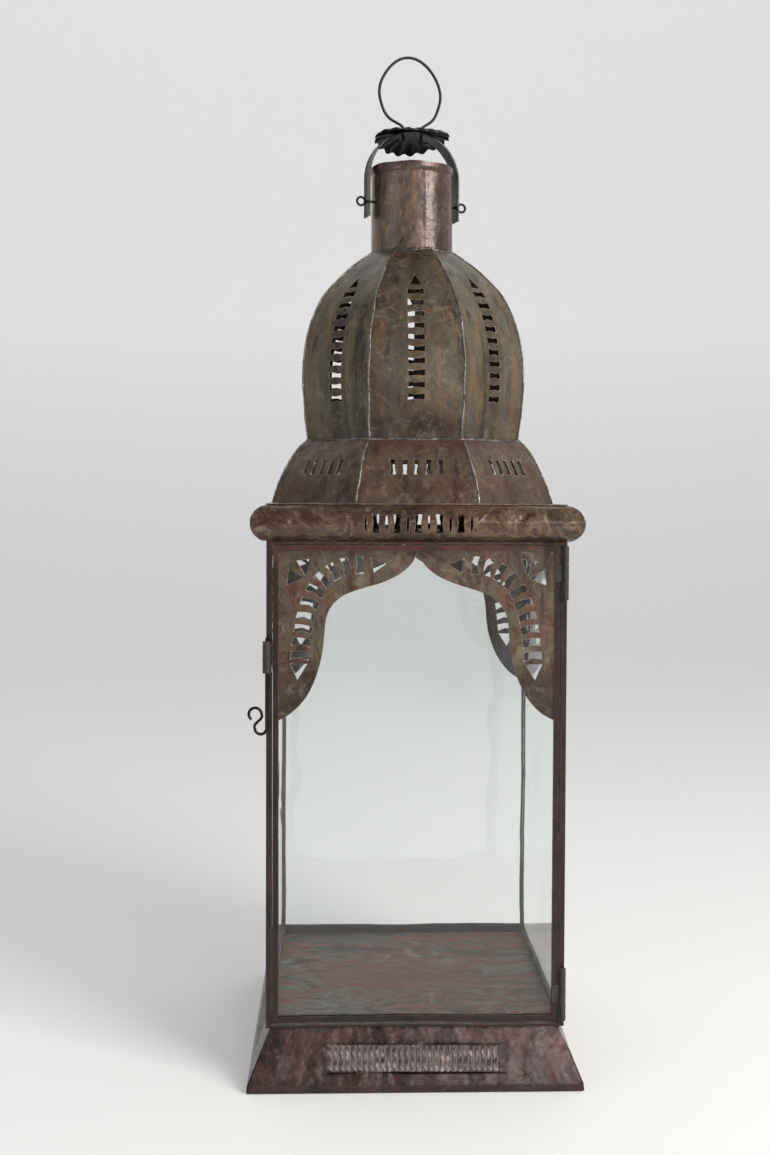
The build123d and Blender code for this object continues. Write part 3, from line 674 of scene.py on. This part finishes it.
# ------------------------------------------------------------------ latch
# A barrel rolled from sheet iron, soldered to the left post, and a wire hook that turns in it.
# Turned to the right, the hook's curl lies across the door's stile and holds it shut.
def wall(name, centre_line, low, high, thickness, material):
    """A sheet that stands on a flat line: its points, shifted both ways across the line.

    The shifts are along the line's own normals, and the section is carried from low to high. A
    fine sine ripple keeps the hand-rolled sheet from being quite smooth.
    """
    heading = np.gradient(centre_line, axis=0)
    heading /= np.linalg.norm(heading, axis=1, keepdims=True)
    normal = np.stack([heading[:, 1], -heading[:, 0]], axis=1)
    outline = np.concatenate([centre_line + normal * thickness / 2,
                              (centre_line - normal * thickness / 2)[::-1]])
    heights = np.linspace(low, high, 12)
    grid = np.empty((len(heights), len(outline), 3))
    grid[:, :, :2] = outline[None]
    grid[:, :, 2] = heights[:, None]
    ripple = 0.00012
    grid += ripple * np.sin(900 * grid[:, :, 2:] + 5 * np.arange(len(outline))[None, :, None])
    return swept(name, [grid], material, crease=40)


barrel_low, barrel_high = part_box("latch_barrel")
latch_joint = next(joint for joint in frame["joints"] if joint["name"] == "latch_turn")
latch_x, latch_y = latch_joint["pos_m"][:2]
barrel_sheet = 0.0006
barrel_radius = 0.0029
barrel_tightening = 0.0009
roll_turns = np.linspace(-0.35, 1.30, 60)
unrolled = 1 - (roll_turns - roll_turns[0]) / np.ptp(roll_turns)
roll_distance = barrel_radius - barrel_tightening * unrolled ** 0.8
roll_angle = 2 * math.pi * roll_turns
barrel_line = np.stack([latch_x + roll_distance * np.cos(roll_angle),
                        latch_y + roll_distance * np.sin(roll_angle)], axis=1)
show("latch_barrel_roll", wall("latch_barrel_roll", barrel_line, barrel_low[2], barrel_high[2],
                               barrel_sheet, hinge_iron),
     "lantern", ("latch_barrel",))
curl_edge, curl_fade, curl_tuck = -0.1065, 0.004, 0.0001


def tuck_curl(points):
    """Moves the hook's curl to the right, by an amount that grows evenly to its left end."""
    return curl_tuck * np.clip((curl_edge - points[:, :1]) / curl_fade, 0, 1) * [1, 0, 0]


hand_worked("latch_wire", "latch_hook", black_iron, "latch", edge=0,
            push=tuck_curl)
post_face = -0.1025
run_half = 0.003
barrel_side = latch_x + 0.0026
run_depth = post_face - 0.0004
runs = []
for index, height in enumerate((barrel_low[2] + run_half, barrel_high[2] - run_half)):
    height_line = np.linspace(height - run_half, height + run_half, 14)
    path = np.stack([0 * height_line + barrel_side, 0 * height_line + run_depth, height_line],
                    axis=1)
    runs.append(bead(path, np.tile([0.3, -0.95, 0.0], (14, 1)), half_width=0.0012, rise=0.0009,
                     seed=40 + index))
show("latch_barrel_solder", swept("latch_barrel_solder", runs, solder), "lantern")


# ------------------------------------------------------------------ cornice
# Four half tubes of sheet iron, mitred and soldered at the corners, pierced by five wide
# hourglass slots with narrow slits between them. A flat plate closes the roll at the top.
cornice_iron = iron(
    "cornice_iron", ((0.028, 0.012, 0.008), (0.072, 0.034, 0.020), (0.150, 0.095, 0.050),
                     (0.045, 0.030, 0.021)),
    streak=(0.170, 0.105, 0.048), film=(0.340, 0.270, 0.190), worn_and_highlit=(0.36, 0.29, 0.23),
    # The dark red tone below is laid on more and more towards the left as painted shade, so that
    # the right end stays lighter as a painted reflection.
    tint_and_painted_light=(0.044, 0.015, 0.010), gloss=(0.14, 0.34), streaks=0.8, drawn_out=(0.3, 0.3, 1),
    hammered=0.7, grain=1.2,
)


def cornice_painted_light(points):
    """Grows evenly from right to left: the darker, redder tone it brings in is painted shade
    towards the left, and the lighter right end is a painted reflection of the light at the upper
    right.
    """
    return 0.45 - 5.5 * points[:, 0]


for side in side_turns:
    hand_worked(f"cornice_{side}", f"cornice_roll_{side}", cornice_iron, "lantern",
                tint_and_painted_light=cornice_painted_light)
hand_worked("cornice_top_plate", "cornice_plate", cornice_iron, "lantern",
            tint_and_painted_light=cornice_painted_light)
roll_low, roll_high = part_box("cornice_front")
roll_radius = (roll_high[2] - roll_low[2]) / 2
roll_height = (roll_high[2] + roll_low[2]) / 2
roll_half = -roll_low[1] - roll_radius
mitre_reach = roll_radius - 0.0004
mitre_runs = []
for index in range(4):
    corner = math.radians(45 + 90 * index)
    away = np.array([math.copysign(1, math.cos(corner)), math.copysign(1, math.sin(corner)), 0])
    turn_up = np.linspace(-1.4, 1.45, 40)
    distance = roll_half + mitre_reach * np.cos(turn_up)
    path = (distance[:, None] * away
            + np.outer(roll_height + mitre_reach * np.sin(turn_up), [0, 0, 1]))
    outward = np.cos(turn_up)[:, None] * away / math.sqrt(2) + np.outer(np.sin(turn_up), [0, 0, 1])
    mitre_runs.append(bead(path, outward, half_width=0.0008, rise=0.0005, seed=60 + index))
show("cornice_mitre_solder", swept("cornice_mitre_solder", mitre_runs, old_solder), "lantern")


# ------------------------------------------------------------------ bell
# Eight facets of sheet iron, bent outwards to an octagon's foot, each with five hourglass
# slots. They are soldered edge to edge, and their top edge is turned in to carry the dome.
bell_iron = iron(
    "bell_iron", ((0.042, 0.026, 0.018), (0.092, 0.062, 0.038), (0.072, 0.072, 0.050),
                  (0.125, 0.084, 0.040)),
    streak=(0.170, 0.110, 0.050), film=(0.250, 0.222, 0.150), worn_and_highlit=(0.34, 0.29, 0.25),
    tint_and_painted_light=(0.078, 0.026, 0.016), gloss=(0.20, 0.42), streaks=0.6, hammered=0.5, grain=1.4,
)
bell_low, bell_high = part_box("bell_panel_1")
bell_foot, bell_top = bell_low[2], bell_high[2]


def bell_warm(points):
    """Falls evenly both ways from a line under the slots, and grows again to the top edge."""
    up = (points[:, 2] - bell_foot) / (bell_top - bell_foot)
    return np.maximum(0.9 - 1.3 * np.abs(up - 0.22), (up - 0.65) / 0.25)


for number in range(1, 9):
    hand_worked(f"bell_panel_{number}", f"bell_facet_{number}", bell_iron, "lantern",
                tint_and_painted_light=bell_warm)


def smooth_line(points, count):
    """A smooth line through the points: a Catmull-Rom curve, with evenly spread parameters."""
    knots = np.array(points, dtype=float)
    padded = np.vstack([2 * knots[0] - knots[1], knots, 2 * knots[-1] - knots[-2]])
    along = np.linspace(0, len(knots) - 1, count)
    span = np.minimum(along.astype(int), len(knots) - 2)
    part = (along - span)[:, None]
    before, start, end, after = (padded[span + shift] for shift in range(4))
    return 0.5 * (2 * start + (end - before) * part
                  + (2 * before - 5 * start + 4 * end - after) * part ** 2
                  + (3 * start - before - 3 * end + after) * part ** 3)


rib_half_width, rib_rise = 0.0008, 0.0006
corner_reach = 1 / math.cos(math.radians(22.5))  # an octagon's corner over its flat distance
bell_outline = (  # distance to the flat and height, from the foot up
    (0.1012, 0.3993), (0.0994, 0.405), (0.0959, 0.415), (0.0913, 0.4255), (0.0853, 0.4355),
    (0.0789, 0.4435),
)
dome_outline = (
    (0.0766, 0.4443), (0.0790, 0.467), (0.0803, 0.489), (0.0774, 0.5182), (0.0669, 0.547),
    (0.0486, 0.569), (0.0292, 0.5847),
)


def rib_beads(outline, seed, count):
    """Solder up the eight corners between facets whose outline is (distance, height)."""
    line = smooth_line(outline, count)
    slope = np.gradient(line, axis=0)
    slope /= np.linalg.norm(slope, axis=1, keepdims=True)
    beads = []
    for index in range(8):
        angle = math.radians(22.5 + 45 * index)
        spoke = np.array([math.cos(angle), math.sin(angle), 0])
        up = np.array([0, 0, 1])
        path = line[:, :1] * corner_reach * spoke + line[:, 1:] * up
        outward = slope[:, 1:] * spoke - slope[:, :1] * up
        beads.append(bead(path, outward, rib_half_width, rib_rise, seed + index))
    return beads


def ring_bead(distance, height, half_width, rise, seed, lean):
    """Solder round an octagon of a flat distance; lean is the outward part of its rise."""
    angle = np.linspace(0, 2 * math.pi, 400, endpoint=False)
    from_flat = (angle + math.pi / 8) % (math.pi / 4) - math.pi / 8
    reach = distance / np.cos(from_flat)
    spoke = np.stack([np.cos(angle), np.sin(angle), 0 * angle], axis=1)
    path = reach[:, None] * spoke + np.array([0, 0, height])
    outward = lean * spoke + np.array([0, 0, math.sqrt(1 - lean ** 2)])
    return bead(path, outward, half_width, rise, seed, closed=True)


bell_ribs = rib_beads(bell_outline, seed=80, count=60)
show("bell_rib_solder", swept("bell_rib_solder", bell_ribs, solder), "lantern",
     ("bell_seams",))
bell_ring = ring_bead(distance=0.1013, height=0.3994, half_width=0.0006, rise=0.0005, seed=95,
                      lean=0.5)
show("bell_foot_solder",
     swept("bell_foot_solder", [bell_ring], old_solder, closed_along=True), "lantern")


# ------------------------------------------------------------------ dome
# Eight curved gores of sheet iron, each pierced by a ladder of ten slots and a small triangle,
# soldered along their edges and to the bell below. Heat has reddened the metal at the slots.
dome_iron = iron(
    "dome_iron", ((0.034, 0.027, 0.019), (0.105, 0.078, 0.048), (0.074, 0.077, 0.060),
                  (0.130, 0.086, 0.044)),
    streak=(0.200, 0.118, 0.048), film=(0.250, 0.225, 0.165), worn_and_highlit=(0.36, 0.27, 0.235),
    # The near-black red tone below darkens the metal along the slots, where heat reddened it, and
    # is laid on the front gore's left side as painted shade.
    clouds=(1, 1, 0.22), tint_and_painted_light=(0.022, 0.006, 0.003), gloss=(0.22, 0.42), streaks=1.0,
    drawn_out=(1, 1, 0.06), grain=1.7,
)
dome_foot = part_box("dome_gore_1")[0][2]
rung_half = 0.009
foot_fade = 0.03


def dome_tint_and_painted_shade(index):
    """Strong along the ladder of slots and at the gore's foot, falling away evenly from both.

    The front gore is redder at its foot, and is darkened more and more from right to left, as
    painted shade on the side turned from the light.
    """
    def tint_and_painted_light(points):
        angle = math.radians(45 * index)
        sideways = points[:, 0] * math.cos(angle) + points[:, 1] * math.sin(angle)
        ladder = 0.75 * np.clip(1.2 - np.abs(sideways) / rung_half, 0, 1)
        foot = np.clip(1.2 - (points[:, 2] - dome_foot) / foot_fade, 0, 1)
        if index == 0:
            return np.maximum(np.maximum(ladder, 1.25 * foot), 0.45 - sideways / 0.1)
        return np.maximum(ladder, 0.5 * foot)
    return tint_and_painted_light


for number in range(1, 9):
    hand_worked(f"dome_gore_{number}", f"dome_segment_{number}", dome_iron, "lantern",
                tint_and_painted_light=dome_tint_and_painted_shade(number - 1))
dome_ribs = rib_beads(dome_outline, seed=110, count=150)
show("dome_rib_solder", swept("dome_rib_solder", dome_ribs, solder), "lantern",
     ("dome_seams",))
dome_ring = ring_bead(distance=0.0773, height=0.4442, half_width=0.0012, rise=0.0010, seed=130,
                      lean=0.6)
show("dome_foot_solder",
     swept("dome_foot_solder", [dome_ring], solder, closed_along=True), "lantern")


# ------------------------------------------------------------------ chimney
# A tube rolled from sheet iron, lapped and soldered in front, with a swaged band at its rim. It
# stands in the dome's top, soldered round its foot, and lets the candle's smoke out.
chimney_iron = iron(
    "chimney_iron", ((0.045, 0.025, 0.019), (0.105, 0.062, 0.045), (0.085, 0.062, 0.048),
                     (0.170, 0.105, 0.052)),
    streak=(0.190, 0.100, 0.054), film=(0.240, 0.190, 0.160), worn_and_highlit=(0.32, 0.26, 0.25),
    # The dark purple-brown tone below darkens the rim band, and the tube's right side as painted
    # shade.
    tint_and_painted_light=(0.040, 0.017, 0.018), gloss=(0.24, 0.42), streaks=0.7, hammered=0.5, metal=0.35,
    grain=1.4,
)
chimney_low, chimney_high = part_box("chimney")
rim_radius = (chimney_high[0] - chimney_low[0]) / 2
tube_radius = rim_radius - 0.0006
sheet = 0.0008
rim_band = 0.005
lap_angle = math.radians(-72)
rim_step, rim_groove, lap_ridge = 0.0007, 0.0005, 0.00045
dents = 26
dent_ceiling = chimney_high[2] - 0.006


def chimney_wall(count_round, count_up):
    """Distance from the axis over angle and height.

    A cylinder, plus a step at the rim band with a groove under it, plus a low lumpy ridge at
    the lapped seam, plus dents that are Gaussian hollows.
    """
    angle = np.linspace(0, 2 * math.pi, count_round, endpoint=False)[None, :]
    height = np.linspace(chimney_low[2], chimney_high[2], count_up)[:, None]
    from_rim = chimney_high[2] - rim_band - height
    distance = tube_radius - 0.0002 + rim_step / (1 + np.exp(from_rim / 0.0004))
    distance = distance - rim_groove * np.exp(-((from_rim - 0.0008) / 0.0007) ** 2)
    seam = np.exp(-((angle - lap_angle % (2 * math.pi)) * tube_radius / 0.0014) ** 2)
    lumps = 0.6 + 0.4 * np.sin(1450 * height) * np.sin(610 * height + 2)
    distance = distance + lap_ridge * seam * lumps * (from_rim > 0)
    dice = np.random.default_rng(11)
    for _ in range(dents):
        at_angle = dice.uniform(0, 2 * math.pi)
        at_height = dice.uniform(chimney_low[2], dent_ceiling)
        wide, deep = dice.uniform(0.002, 0.006), dice.uniform(0.0001, 0.0003)
        across = tube_radius * ((angle - at_angle + math.pi) % (2 * math.pi) - math.pi)
        distance = distance - deep * np.exp(-(across ** 2 + (height - at_height) ** 2) / wide ** 2)
    outer = np.stack([distance * np.cos(angle), distance * np.sin(angle),
                      height + 0 * distance], axis=-1)
    inner = outer.copy()
    inner[:, :, :2] *= (1 - sheet / distance)[:, :, None]
    return np.concatenate([outer, inner[::-1]])


grid = chimney_wall(count_round=180, count_up=90)
rim_wave = 0.0003  # the cut edge wavers down from its full height by up to twice this
wavering = rim_wave * np.sin(7 * np.arctan2(grid[:, :, 1], grid[:, :, 0])) - rim_wave
grid[:, :, 2] += np.where(grid[:, :, 2] > chimney_high[2] - 0.0005, wavering, 0)
flat = grid.reshape(-1, 3)
grid = (flat + 0.8 * unevenness(flat)).reshape(grid.shape)
chimney_mesh = swept("chimney_tube", [grid], chimney_iron, closed_along=True, crease=50)
tube_x, tube_height = grid[:, :, 0].ravel(), grid[:, :, 2].ravel()
chimney_rim_tint_and_painted_shade = np.maximum((tube_height - chimney_high[2] + 0.010) / 0.008,
                       (tube_x + 0.002) / 0.014)  # darker and redder at the rim, and darker to the right as painted shade
chimney_mesh.attributes.new("tint_and_painted_light", "FLOAT", "POINT").data.foreach_set(
    "value", np.clip(chimney_rim_tint_and_painted_shade, 0.1, 1.0).astype(np.float32))
show("chimney_tube", chimney_mesh, "lantern", ("chimney",))
foot_angle = np.linspace(0, 2 * math.pi, 260, endpoint=False)
facet_angle = (foot_angle + math.pi / 8) % (math.pi / 4) - math.pi / 8
dome_line = smooth_line(dome_outline, 200)[::-1]
foot_reach = tube_radius + 0.0004
foot_height = np.interp(foot_reach * np.cos(facet_angle), dome_line[:, 0], dome_line[:, 1])
spokes = np.stack([np.cos(foot_angle), np.sin(foot_angle), 0 * foot_angle], axis=1)
foot_path = foot_reach * spokes + np.outer(foot_height, [0, 0, 1])
foot_outward = (spokes + np.array([0, 0, 1])) / math.sqrt(2)
foot_bead = bead(foot_path, foot_outward, half_width=0.0012, rise=0.0008, seed=150, closed=True)
show("chimney_foot_solder", swept("chimney_foot_solder", [foot_bead], old_solder,
                                  closed_along=True), "lantern")


# ------------------------------------------------------------------ bail, rosette and ring
# A bail bent from flat iron swings on two eye pins through the chimney. A ruffled iron rosette
# lies on its crown, and a wire ring goes through both, its ends curled under the bail.
bail_joint = next(joint for joint in frame["joints"] if joint["name"] == "bail_swing")
bail_across = np.array(bail_joint["axis"]) / np.linalg.norm(bail_joint["axis"])
bail_side = np.array([-bail_across[1], bail_across[0], 0])
strap_low, strap_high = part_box("bail_strap")
strap_radius = 0.0356
strap_sheet = 0.0012
strap_half_width = 0.0065
arch_height = strap_high[2] - strap_radius


def bail_strip():
    """A flat strip with thickened edges, carried up one leg, round the arch and down.

    The section is a thin rectangle whose two long edges are 0.4 mm thicker on the outside of
    the bend than its middle.
    """
    tail = np.linspace(strap_low[2] + 0.0002, arch_height, 22)[:-1]
    turn = np.linspace(math.pi, 0, 70)
    middle = strap_radius - strap_sheet
    line = np.concatenate([
        np.stack([0 * tail - 1, 0 * tail, tail], axis=1),
        np.stack([np.cos(turn), np.sin(turn), 0 * turn + arch_height], axis=1),
        np.stack([0 * tail + 1, 0 * tail, tail[::-1]], axis=1),
    ])
    width = strap_half_width * np.array([-1, -1, -0.72, -0.5, 0.5, 0.72, 1, 1, 0.6, -0.6])
    thin, thick = 0.0007, 0.0011
    depth = np.array([0, thick, thick, thin, thin, thick, thick, 0, 0, 0])
    rough = 1 + 0.04 * np.sin(np.arange(len(line)) * 0.9) * np.sin(np.arange(len(line)) * 0.23)
    reach = middle + depth[None, :]
    sideways = width[None, :] * rough[:, None]
    points = (reach * line[:, :1])[:, :, None] * bail_across
    points = points + sideways[:, :, None] * bail_side
    points[:, :, 2] += line[:, 2:] + reach * line[:, 1:2]
    return points


show("bail_strip", swept("bail_strip", [bail_strip()], black_iron, crease=30), "bail",
     ("bail_strap",))

rosette_low, rosette_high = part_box("rosette")
rosette_radius = (rosette_high[0] - rosette_low[0]) / 2
crown_height = rosette_high[2]
lobes = 18
bail_turn = math.atan2(bail_across[1], bail_across[0])
side_fall = 0.0045  # the edge below the crown, over the bail's two legs
fold_fall = 0.0028  # further fall of the edges before and behind the bail
lean = 0.0030  # the front edge is pushed up by this, and the back edge down
scallop_depth = 0.065  # part of the radius
ruffle = 0.0009


def ruffled_disc(rings, spokes_count):
    """Height over angle and distance from the middle.

    The disc falls away with the square of the distance, more across the bail than along it, and
    it leans back. Towards its edge it ripples up and down with the lobes and a slow wave, and
    its edge is scalloped by the rectified sine of half the lobes' angle.
    """
    angle = np.linspace(0, 2 * math.pi, spokes_count, endpoint=False)[None, :]
    part = np.linspace(0.0, 1, rings)[:, None]
    part = np.maximum(part, 0.001)
    scallop = 1 - scallop_depth * (1 - np.abs(np.sin(lobes * angle / 2))) * part ** 6
    distance = (rosette_radius - 0.0002) * part * scallop
    toward_front = -np.sin(angle - bail_turn)
    fall = part ** 2 * (side_fall + fold_fall * toward_front ** 2 - lean * toward_front)
    ripple = ruffle * part ** 3 * (np.cos(lobes * angle) + 0.4 * np.sin(2 * angle + 1))
    lower = crown_height - sheet - 0.0006 - fall + ripple
    grid = np.stack([distance * np.cos(angle), distance * np.sin(angle),
                     lower + 0 * angle], axis=-1)
    upper = grid.copy()
    upper[:, :, 2] += sheet
    return np.concatenate([grid, upper[::-1]])


show("ruffled_rosette",
     swept("ruffled_rosette", [ruffled_disc(rings=26, spokes_count=216)], black_iron,
           crease=45),
     "bail", ("rosette",))
hand_worked("hang_ring", "hang_ring_wire", black_iron, "ring", edge=0)
for hand in ("left", "right"):
    hand_worked(f"bail_pin_{hand}", f"bail_eye_pin_{hand}", black_iron, "lantern",
                edge=0)
